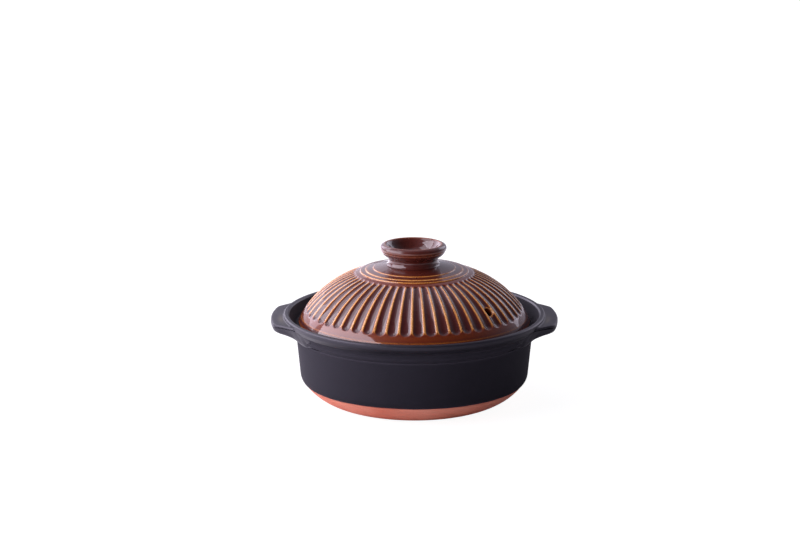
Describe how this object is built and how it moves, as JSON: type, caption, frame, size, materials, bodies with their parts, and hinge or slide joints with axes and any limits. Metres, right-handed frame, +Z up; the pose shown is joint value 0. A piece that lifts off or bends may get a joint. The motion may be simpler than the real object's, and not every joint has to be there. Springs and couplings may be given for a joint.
{
  "type": "clay pot",
  "caption": "Lidded clay cooking pot on a bare foot, with ear lugs, an inner gallery, and a domed lid carved with radial flutes, a cup knob and a steam hole.",
  "frame": {"origin": "on the floor, under the middle of the foot", "axes": "+Z up along the axis of the pot and lid, +X through the right lug, -Y towards the side with the steam hole on its right"},
  "size_m": [0.2808, 0.256, 0.1547],
  "materials": {
    "black_glaze": "satin black glaze over stoneware, with a bare terracotta foot",
    "amber_glaze": "glossy translucent amber-brown glaze, dark where it pools and amber where it thins over edges"
  },
  "bodies": {
    "pot": {"pot_body": "black_glaze", "lug_left": "black_glaze", "lug_right": "black_glaze"},
    "lid": {"lid_dome": "amber_glaze", "lid_knob": "amber_glaze"}
  },
  "joints": [
    {"name": "lid_lift", "type": "slide", "parent": "pot", "child": "lid", "axis": [0, 0, 1], "range_m": [0, 0.15]}
  ]
}
